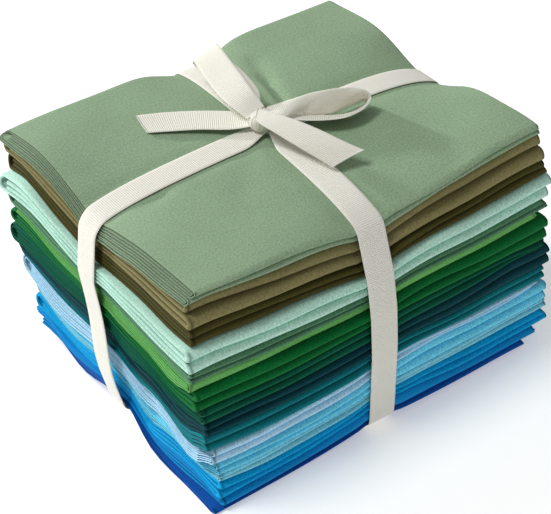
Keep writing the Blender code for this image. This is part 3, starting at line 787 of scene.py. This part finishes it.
def taut_line(points, off):
    """The outline in even steps, smoothed, moved out by off, and once more the same."""
    path = smoothed(even_steps(outline(points), BAND_STEP / 2), SMOOTH_BEFORE)
    return smoothed(even_steps(path + off * turned_out(path), BAND_STEP), SMOOTH_AFTER)


square = [(0, 0), (4, 0), (4, 4), (0, 4)]
print("a square with a point inside it has", len(outline([*square, (1, 2)])), "corners")

# %% [markdown]
# The ribbon is one woven strip, thin and flat, with a firm edge. A plane with a Solidify modifier
# would give its thickness, but the strip also twists and arches in the bow. So a thin closed
# section is carried along the strip's two edge lines, with a map in metres that the ribs follow.

# %% Carry the ribbon's section
RIBBON_THICK = 0.42
# Places across the ribbon, from edge to edge, closer together where the section closes.
PROFILE_S = np.array([-1.0, -0.97, -0.85, -0.5, 0.0, 0.5, 0.85, 0.97, 1.0])
# The power with which the section closes towards its edge, and how much of it is left there.
EDGE_POWER, EDGE_LEFT = 24, 0.12


def strip_profile(arch):
    """The closed outline of the section: across from -1 to 1 and back. Its faces stand half the
    thickness * the root of 1 - across to a power off an arch that is highest at the middle."""
    across = np.concatenate([PROFILE_S, PROFILE_S[::-1]])
    side = np.repeat([1.0, -1.0], len(PROFILE_S))
    edge = np.sqrt(np.clip(1 - abs(across) ** EDGE_POWER, EDGE_LEFT, 1)) * RIBBON_THICK / 2
    return across, side * edge + arch * (1 - across**2)


def carry(name, low, high, out, closed, arch=0.0):
    """Carries the ribbon's section along two edge lines: middle + across * half the way from
    low to high + height * the direction out."""
    across, height = strip_profile(arch)
    middle, half = (low + high) / 2, (high - low) / 2
    points = middle[:, None] + half[:, None] * across[:, None] + out[:, None] * height[:, None]
    step = np.linalg.norm(np.diff(np.vstack([middle, middle[:1]]), axis=0), axis=1)
    at = np.concatenate([[0], np.cumsum(step)])
    at = (at if closed else at[:-1]) * MM
    s = np.concatenate([across, across[:1]]) * BAND_HALF * MM
    uv = np.stack(np.meshgrid(at, s, indexing="ij")[::-1], axis=2)
    return grid_object(name, points, uv, closed, True, not closed), at[-1]


print("points round the ribbon's section:", len(strip_profile(0.0)[0]))

# %% [markdown]
# Two rounds of ribbon hold the stack, one along its length and one across it. Near the knot they
# are gathered to about half their width, and they rise a little under it. Where they cross, the
# round along the length lies outside, on top and underneath. At the left it also stands off the
# cloth. One line for both rounds would need a hidden turn under the knot, so each is a closed
# ring, and the knot covers where they meet.

# %% The two bands round the stack
# How far the ribbon's middle lies off the cloth, and how far beside the ribbon cloth still holds
# it out.
RIBBON_OFF, CLOTH_BESIDE = 0.45, 0.5
# The share of its width that is left at the knot, and how far from the knot it is whole again.
GATHERED, GATHER_LENGTH = 0.45, 14.0
# How far the bands rise under the knot, and over or under each other, and how far that spreads.
KNOT_RISE, KNOT_SPREAD = 0.9, 7.0
OVER_CROSS, OVER_LONG, CROSSING_SPREAD = RIBBON_THICK + 0.15, 0.45, 9.0
# How far the long band stands off at the left, beyond which X, at which height and how far up.
STANDS_OFF, LEFT_OF, STANDS_AT, STANDS_SPREAD = 2.0, -60.0, 26.0, 16.0


def bell(distance, height, spread, power=2):
    """height * exp(-(distance / spread) to an even power)."""
    return height * np.exp(-((distance / spread) ** power))


def waist(distance):
    """Half width of a band at a distance from the knot, where it is gathered."""
    return BAND_HALF * (GATHERED + (1 - GATHERED) * smooth(abs(distance) / GATHER_LENGTH))


def round_of(columns, beside):
    """The taut line round the cloth under a ribbon, in the plane of two columns of its points,
    and which of the line's points are on top."""
    under = abs(beside) < BAND_HALF + CLOTH_BESIDE
    place, level = taut_line(cloth_points[under][:, columns], RIBBON_OFF).T
    return place, level, level > HEIGHT / 2


def spots(x, y, z):
    """Points from their three coordinates."""
    return np.stack(np.broadcast_arrays(x, y, z), axis=1)


y, z, on_top = round_of([1, 2], cloth_points[:, 0] - slant(cloth_points[:, 1]))
half = np.where(on_top, waist(y), BAND_HALF)
z = z + np.where(on_top, bell(y, KNOT_RISE, KNOT_SPREAD), bell(y, OVER_LONG, CROSSING_SPREAD, 4))
out_y, out_z = turned_out(np.stack([y, z], axis=1)).T
low, high = spots(slant(y) - half, y, z), spots(slant(y) + half, y, z)
cross_band, cross_length = carry("band_cross", low, high, spots(0.0, out_y, out_z), True)

x, z, on_top = round_of([0, 2], cloth_points[:, 1])
from_knot = x - slant(0.0)
half = np.where(on_top, waist(from_knot), BAND_HALF)
x = x - np.where(x < LEFT_OF, bell(z - STANDS_AT, STANDS_OFF, STANDS_SPREAD), 0.0)
risen = bell(from_knot, OVER_CROSS, CROSSING_SPREAD, 4) + bell(from_knot, KNOT_RISE, KNOT_SPREAD)
z = z + np.where(on_top, risen, 0.0)
out_x, out_z = turned_out(np.stack([x, z], axis=1)).T
low, high = spots(x, half, z), spots(x, -half, z)
long_band, long_length = carry("band_long", low, high, spots(out_x, 0.0, out_z), True)
print("bands:", round(cross_length, 3), "and", round(long_length, 3), "m")

# %% [markdown]
# The bow's loops and tails are short lengths of the same ribbon that twist as they leave the
# knot. A simulation would find some bow, but not this one. Each strip is set out by its two
# edges at a few places, read off from the photograph, with a smooth curve through them.

# %% The bow's strips
BOW = {
    "bow_tail_left": [
        (-5.2, -0.4, 92.9, -2.6, 6.4, 93.6),
        (-11.4, 5.1, 91.4, -6.8, 13.0, 92.6),
        (-18.6, 12.2, 90.9, -13.8, 20.8, 91.8),
        (-25.6, 17.6, 90.6, -22.2, 27.8, 91.3),
        (-32.4, 22.5, 90.4, -30.7, 32.8, 91.2),
    ],
    "bow_tail_right": [
        (-6.4, -3.2, 97.3, -2.4, 1.2, 97.7),
        (-6.4, -7.2, 97.0, 0.4, -7.0, 98.3),
        (-5.2, -12.0, 96.3, 3.2, -14.2, 98.1),
        (-3.2, -19.4, 94.8, 6.2, -21.8, 97.2),
        (-0.6, -27.0, 92.9, 9.3, -30.0, 95.8),
        (1.9, -33.2, 90.9, 12.1, -36.3, 94.6),
    ],
    "bow_loop_left": [
        (-6.9, 1.2, 95.7, 0.4, 1.8, 97.0),
        (-8.2, 8.6, 97.2, 0.6, 8.4, 99.8),
        (-8.0, 15.0, 97.6, 1.4, 14.6, 101.2),
        (-6.8, 23.0, 98.0, 2.6, 21.6, 101.9),
        (-5.0, 31.6, 98.6, 4.2, 30.4, 102.7),
        (-3.4, 38.0, 98.4, 5.6, 36.6, 102.6),
        (-2.8, 40.0, 97.0, 6.2, 38.4, 101.0),
        (-2.7, 38.4, 95.4, 6.6, 36.8, 99.2),
        (-3.2, 31.0, 94.9, 6.4, 29.6, 98.4),
        (-4.0, 21.0, 94.6, 6.0, 19.8, 97.6),
        (-4.0, 11.0, 94.4, 5.0, 11.6, 95.6),
        (-4.6, 3.7, 94.2, -0.2, 3.7, 94.4),
    ],
    "bow_loop_right": [
        (-2.6, -1.1, 95.4, 1.5, 1.9, 96.2),
        (0.2, -5.0, 96.2, 6.4, -0.6, 97.4),
        (3.4, -6.4, 95.8, 10.7, -2.4, 98.2),
        (6.6, -5.6, 94.6, 15.4, -4.2, 98.9),
        (9.9, -5.0, 93.8, 19.1, -6.3, 99.3),
        (12.3, -6.0, 92.6, 21.6, -7.5, 99.4),
        (16.0, -7.0, 91.5, 24.2, -8.8, 99.2),
        (20.2, -8.3, 90.9, 27.1, -10.1, 98.8),
        (25.0, -8.1, 90.6, 29.1, -12.4, 98.6),
        (30.1, -7.9, 90.4, 30.5, -14.6, 97.8),
        (33.2, -8.1, 90.2, 30.2, -16.0, 96.0),
        (31.7, -10.2, 90.2, 26.7, -17.7, 95.1),
        (27.7, -11.1, 90.2, 22.5, -18.5, 95.1),
        (23.4, -10.4, 90.2, 18.2, -18.0, 94.9),
        (19.2, -8.0, 90.3, 14.2, -15.8, 94.7),
        (16.2, -5.5, 90.6, 10.9, -13.3, 94.6),
        (12.2, -2.2, 91.2, 7.4, -9.4, 94.2),
        (6.6, 1.0, 91.8, 3.4, -3.6, 93.6),
        (1.4, 2.6, 92.4, -0.6, -0.2, 93.2),
    ],
}
# Steps on each span of a strip, and how far each strip arches across its width.
BOW_STEPS = 10
BOW_ARCH = {"bow_tail_left": 0.35, "bow_tail_right": 0.3, "bow_loop_left": 0.25, "bow_loop_right": 0.0}


def smooth_line(points, steps):
    """A curve through all points: on each span it leaves and arrives along the chord between
    the neighbours."""
    points = np.asarray(points, float)
    ends = np.vstack([2 * points[0] - points[1], points, 2 * points[-1] - points[-2]])
    t = (np.arange(steps) / steps)[:, None]
    fours = zip(ends, ends[1:], ends[2:], ends[3:])
    spans = [curve(t, b, c, (c - a) / 2, (d - b) / 2) for a, b, c, d in fours]
    return np.vstack([*spans, points[-1:]])


bow, bow_length = {}, {}
for name, edges in BOW.items():
    line = smooth_line(edges, BOW_STEPS)
    low, high = line[:, :3], line[:, 3:]
    out = unit(np.cross(np.gradient((low + high) / 2, axis=0), high - low))
    bow[name], bow_length[name] = carry(name + "_strip", low, high, out, False, BOW_ARCH[name])
    print(name, round(bow_length[name], 3), "m")

# %% [markdown]
# The knot is the same ribbon once more, gathered into a narrow wrap that goes round the middle
# of the bow. A strip that is really wound would hide nearly all of itself, so it is built as a
# rounded body whose surface has the fine pleats of gathered ribbon.

# %% The knot
# Two opposite corners of the knot, and how square it is: 1 is an ellipsoid, 0 a box.
KNOT_LOW, KNOT_HIGH = np.array([-6.4, -4.0, 90.8]), np.array([1.8, 4.0, 96.8])
KNOT_POWER = 0.7
# Pleats from the knot's middle to either side, how deep they are and how much they sway.
KNOT_PLEATS, PLEAT_DEPTH, PLEAT_SWAY = 5, 0.05, 0.6
KNOT_RINGS, KNOT_SIDES = 41, 48
# Metres of ribbon that go round the knot and across it.
KNOT_CLOTH = (0.022, 0.009)


def rounded(value):
    """The value's size to a power below 1, with its sign kept, which squares a circle's sines."""
    return np.sign(value) * abs(value) ** KNOT_POWER


def knot_points():
    """A rounded box: rings of rounded sines and cosines, with pleats that run round it."""
    turn = np.linspace(-np.pi / 2, np.pi / 2, KNOT_RINGS + 2)[1:-1][:, None]
    around = np.linspace(0, 2 * np.pi, KNOT_SIDES, endpoint=False)[None, :]
    across = rounded(np.sin(turn)) + 0 * around
    pleat = 1 + PLEAT_DEPTH * np.cos(2 * np.pi * KNOT_PLEATS * across + PLEAT_SWAY * np.sin(around))
    ring = rounded(np.cos(turn)) * pleat
    points = np.stack([ring * rounded(np.sin(around)), across, ring * rounded(np.cos(around))], axis=2)
    return points * (KNOT_HIGH - KNOT_LOW) / 2 + (KNOT_HIGH + KNOT_LOW) / 2


round_it, over_it = (np.linspace(0, size, n) for size, n in zip(KNOT_CLOTH, (KNOT_SIDES + 1, KNOT_RINGS)))
uv = np.stack(np.meshgrid(round_it, over_it), axis=2)
knot = grid_object("bow_knot_wrap", knot_points(), uv, False, True, True)
print("knot:", [round(side, 1) for side in KNOT_HIGH - KNOT_LOW], "mm")

# %% [markdown]
# Shader maths reads best as plain sums. One small class wraps a node's output, so that an
# expression such as 1 - mask adds the Math nodes itself, and any other node comes from a single
# method that takes the node's kind, its settings and what goes into it.

# %% Sums of sockets
class Wire:
    """A material's socket that can stand in a sum."""

    def __init__(self, tree, socket=None):
        self.tree, self.socket = tree, socket

    def node(self, kind, settings, inputs, output=0):
        """Adds a node: its settings first, then a value or a link for each input."""
        made = self.tree.nodes.new(kind)
        for key, value in settings.items():
            setattr(made, key, value)
        for key, value in inputs.items():
            if isinstance(value, Wire):
                self.tree.links.new(value.socket, made.inputs[key])
            else:
                made.inputs[key].default_value = value
        return Wire(self.tree, made.outputs[output])

    def output(self, key):
        """Another output of the same node."""
        return Wire(self.tree, self.socket.node.outputs[key])

    def math(self, operation, *values):
        """A Math node on these values."""
        return self.node("ShaderNodeMath", {"operation": operation}, dict(enumerate(values)))

    def __add__(self, other):
        return self.math("ADD", self, other)

    def __sub__(self, other):
        return self.math("SUBTRACT", self, other)

    def __rsub__(self, other):
        return self.math("SUBTRACT", other, self)

    def __mul__(self, other):
        return self.math("MULTIPLY", self, other)

    __radd__, __rmul__ = __add__, __mul__


def settle(node, values):
    """Puts constants on a node's own sockets."""
    for key, value in values.items():
        node.inputs[key].default_value = value


def new_material(name):
    """A material, its tree as a wire, and its shader."""
    made = bpy.data.materials.new(name)
    made.use_nodes = True
    return made, Wire(made.node_tree), made.node_tree.nodes["Principled BSDF"]


def cut_map(w):
    """The piece's UV map, in metres along the cloth, and its two parts."""
    place = w.node("ShaderNodeUVMap", {"uv_map": "cut"}, {})
    split = w.node("ShaderNodeSeparateXYZ", {}, {0: place})
    return place, split.output("X"), split.output("Y")


def threads(w, place, waves):
    """Noise that is drawn out along one direction of the map, in waves to the metre."""
    stretched = w.node("ShaderNodeVectorMath", {"operation": "MULTIPLY"}, {0: place, 1: (*waves, 1.0)})
    return w.node("ShaderNodeTexNoise", {}, {"Vector": stretched, "Scale": 1.0, "Detail": 2.0})


def dress(w, shader, colour, shade, bump):
    """colour * shade goes into the base colour, and a bump of the height into the normal."""
    tint = w.node("ShaderNodeVectorMath", {"operation": "SCALE"}, {0: colour, 3: shade})
    w.tree.links.new(tint.socket, shader.inputs["Base Color"])
    w.tree.links.new(w.node("ShaderNodeBump", {}, bump).socket, shader.inputs["Normal"])


made, w, shader = new_material("trial")
print("1 - mask adds a node that does", (1 - w.node("ShaderNodeValue", {}, {})).socket.node.operation)
bpy.data.materials.remove(made)

# %% [markdown]
# Quilting cotton is a plain weave of about twenty-four threads to the centimetre. Each thread is a touch
# lighter or darker than the next, which gives the soft grain that shows on the top cloth. An image of cloth
# would end somewhere and repeat, while sums of waves and noise follow the cut's own UV map through every
# fold. The weave goes into the bump and a little into the colour, with the uneven threads and a fine
# mottle, and shade is painted into the colour in the grooves between the folds.

# %% Cotton
# Width of a thread, how far the threads waver, and with how many waves to the metre.
THREAD = 0.00042
WAVER, WAVERS = 0.0004, 260.0
# Waves to the metre across a thread and along it, and those of the mottle and the slow clouds.
ACROSS_THREAD, ALONG_THREAD = 1500.0, 90.0
MOTTLE_WAVES, CLOUD_WAVES = 1500.0, 45.0
# The shade's parts: a base, the uneven threads, the mottle, the clouds and the weave.
BASE, HEATHER, MOTTLE, CLOUDS, WEAVE = 0.35, 0.10, 1.00, 0.20, 0.10
# How much of the colour the deepest groove between two folds loses to painted shade.
PAINTED_SHADE_DEPTH = 0.6


def cotton(name, colour):
    """Plain weave: the height is 0.4 * the sum of the two threads' rounded tops + 0.35 * their
    waves' product, which puts every second crossing up."""
    made, w, shader = new_material(name)
    place, along, across = cut_map(w)
    waver = w.node("ShaderNodeTexNoise", {}, {"Vector": place, "Scale": WAVERS, "Detail": 1.0}) * WAVER
    a = w.math("COSINE", (along + waver) * (math.pi / THREAD))
    b = w.math("COSINE", (across + waver) * (math.pi / THREAD))
    weave = (w.math("ABSOLUTE", a) + w.math("ABSOLUTE", b)) * 0.4 + a * b * 0.35
    waves = (ACROSS_THREAD, ALONG_THREAD)
    heather = threads(w, place, waves) + threads(w, place, waves[::-1])
    fine = {"Vector": place, "Scale": MOTTLE_WAVES, "Detail": 2.0, "Roughness": 0.6}
    mottle = w.node("ShaderNodeTexNoise", {}, fine)
    clouds = w.node("ShaderNodeTexNoise", {}, {"Vector": place, "Scale": CLOUD_WAVES, "Detail": 2.0})
    # Shade is painted into the colour in the grooves between folds, read from the mesh.
    painted_groove_shade = w.node("ShaderNodeAttribute", {"attribute_name": "painted_groove_shade"}, {}, "Fac")
    shade = BASE + (heather - 1.0) * HEATHER + mottle * MOTTLE + clouds * CLOUDS + weave * WEAVE
    bump = {"Strength": 0.35, "Distance": 0.00025, "Height": weave + heather * 0.5}
    dress(w, shader, colour, shade * (1.0 - painted_groove_shade * PAINTED_SHADE_DEPTH), bump)
    settle(shader, {
        "Roughness": 0.9,
        "Specular IOR Level": 0.12,
        "Sheen Weight": 0.06,
        "Sheen Roughness": 0.5,
        "Sheen Tint": (*(0.4 + 0.6 * c for c in colour), 1.0),
    })
    return made


for cloth, obj in zip(CLOTHS, cloths):
    obj.data.materials.append(cotton(cloth.name + "_cotton", cloth.colour))
print("cotton materials:", len(cloths))

# %% [markdown]
# Grosgrain has a rib across the ribbon every 0.7 mm, with a narrow groove between two ribs and a
# firm smooth edge. Ribs in the mesh would need a hundred thousand faces, so they are a wave along
# the ribbon's UV map. A little light passes into the weave, which keeps its shaded side soft.

# %% Grosgrain
RIB = 0.0007
RIBBON_COLOUR = (0.812, 0.792, 0.702)
# Where the ribs start to fade and where the smooth edge starts, from the ribbon's middle.
RIBS_FADE, EDGE_STARTS = 0.0044, 0.0050
# Waves to the metre across a fibre and along it.
ACROSS_FIBRE, ALONG_FIBRE = 4200.0, 500.0
# The shade's parts: a base, the ribs and the fibres.
PLAIN, RIBS, FIBRES = 0.88, 0.14, 0.06


def grosgrain(name):
    """The height is the square root of a raised cosine along the ribbon, so a rib is round and the dip
    between two ribs is narrow. At the edge the ribs fade."""
    made, w, shader = new_material(name)
    place, across, along = cut_map(w)
    rib = w.math("POWER", w.math("COSINE", along * (2 * math.pi / RIB)) * 0.5 + 0.5, 0.5)
    fade = {"Value": w.math("ABSOLUTE", across), "From Min": RIBS_FADE, "From Max": EDGE_STARTS}
    ribs = rib * (1.0 - w.node("ShaderNodeMapRange", {}, fade))
    fibre = threads(w, place, (ACROSS_FIBRE, ALONG_FIBRE))
    bump = {"Strength": 0.7, "Distance": 0.0002, "Height": ribs + fibre * 0.15}
    dress(w, shader, RIBBON_COLOUR, PLAIN + ribs * RIBS + fibre * FIBRES, bump)
    settle(shader, {
        "Roughness": 0.75,
        "Specular IOR Level": 0.20,
        "Sheen Weight": 0.08,
        "Subsurface Weight": 0.35,
        "Subsurface Radius": (1.0, 1.0, 1.0),
        "Subsurface Scale": 0.0006,
    })
    return made


ribbon = grosgrain("cream_grosgrain")
ribbons = [cross_band, long_band, knot, *bow.values()]
for obj in ribbons:
    obj.data.materials.append(ribbon)
print("ribbon pieces:", len(ribbons))

# %% [markdown]
# The photograph has soft white light from all round, a stronger one from high at the left and a
# low one from behind, which draws the long shadow of the bow's right loop across the top cloth.
# A pale world does the first, and two lamps do the others: where the low one stands was read
# from the tip of that shadow. The floor is plain and pale, and gives off a little light of its
# own, so that the bundle's shadow stays as faint as in the photograph.

# %% Floor and light
WHITE = (1.0, 1.0, 1.0, 1.0)
FLOOR_HALF, FLOOR_PALE, FLOOR_GLOW = 4, 0.86, 0.34
WORLD_STRENGTH = 0.38
# The lamps: where each stands as seen from the bundle, its size in metres and its power in watts.
LAMP_DISTANCE = 1.8
LAMPS = {
    "high_lamp": ((-0.42, 0.10, 0.90), 0.6, 15.0),
    "low_lamp": ((-0.32, 0.90, 0.28), 0.10, 24.0),
}

floor_mesh = bpy.data.meshes.new("floor")
floor_corners = [(x * FLOOR_HALF, y * FLOOR_HALF, 0) for x, y in ((-1, -1), (1, -1), (1, 1), (-1, 1))]
floor_mesh.from_pydata(floor_corners, [], [(0, 1, 2, 3)])
floor = add("floor", floor_mesh)
made, w, shader = new_material("pale_floor")
pale = (FLOOR_PALE, FLOOR_PALE, FLOOR_PALE, 1.0)
settle(shader, {"Base Color": pale, "Roughness": 0.9})
settle(shader, {"Emission Color": WHITE, "Emission Strength": FLOOR_GLOW})
floor_mesh.materials.append(made)

world = bpy.data.worlds.new("studio")
world.use_nodes = True
settle(world.node_tree.nodes["Background"], {"Color": WHITE, "Strength": WORLD_STRENGTH})
bpy.context.scene.world = world

for name, (direction, size, power) in LAMPS.items():
    lamp = add(name, bpy.data.lights.new(name, "AREA"))
    lamp.data.shape = "DISK"
    lamp.data.size = size
    lamp.data.energy = power
    towards = Vector(direction).normalized()
    facing = towards.to_track_quat("Z", "Y").to_matrix().to_4x4()
    lamp.matrix_world = Matrix.Translation(towards * LAMP_DISTANCE) @ facing
    print(name, "stands", round(math.degrees(math.asin(towards.z))), "degrees up")
bpy.context.scene.view_settings.view_transform = "Standard"

# %% [markdown]
# Last, every piece is tied to the imported model: it moves with the model's one body and stands for its
# node, whose imported part is hidden. The floor is only there for the picture.

# %% Tie the pieces to the model
for index, (cloth, obj) in enumerate(zip(CLOTHS, cloths)):
    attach(obj, "root")
    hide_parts(f"cloth_{index + 1:02d}_{cloth.name}")
    below = [cloths[index + 1].name] if index + 1 < len(cloths) else [long_band.name, cross_band.name]

strips = {
    "ribbon_cross": (cross_band, cross_length, cloths[0]),
    "ribbon_long": (long_band, long_length, cloths[0]),
}
strips.update({name: (bow[name], bow_length[name], knot) for name in sorted(bow)})
for node, (obj, length, under) in strips.items():
    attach(obj, "root")
    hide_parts(node)
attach(knot, "root")
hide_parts("bow_knot")
print("sheets:", len(cloths) + len(strips), "and one knot")
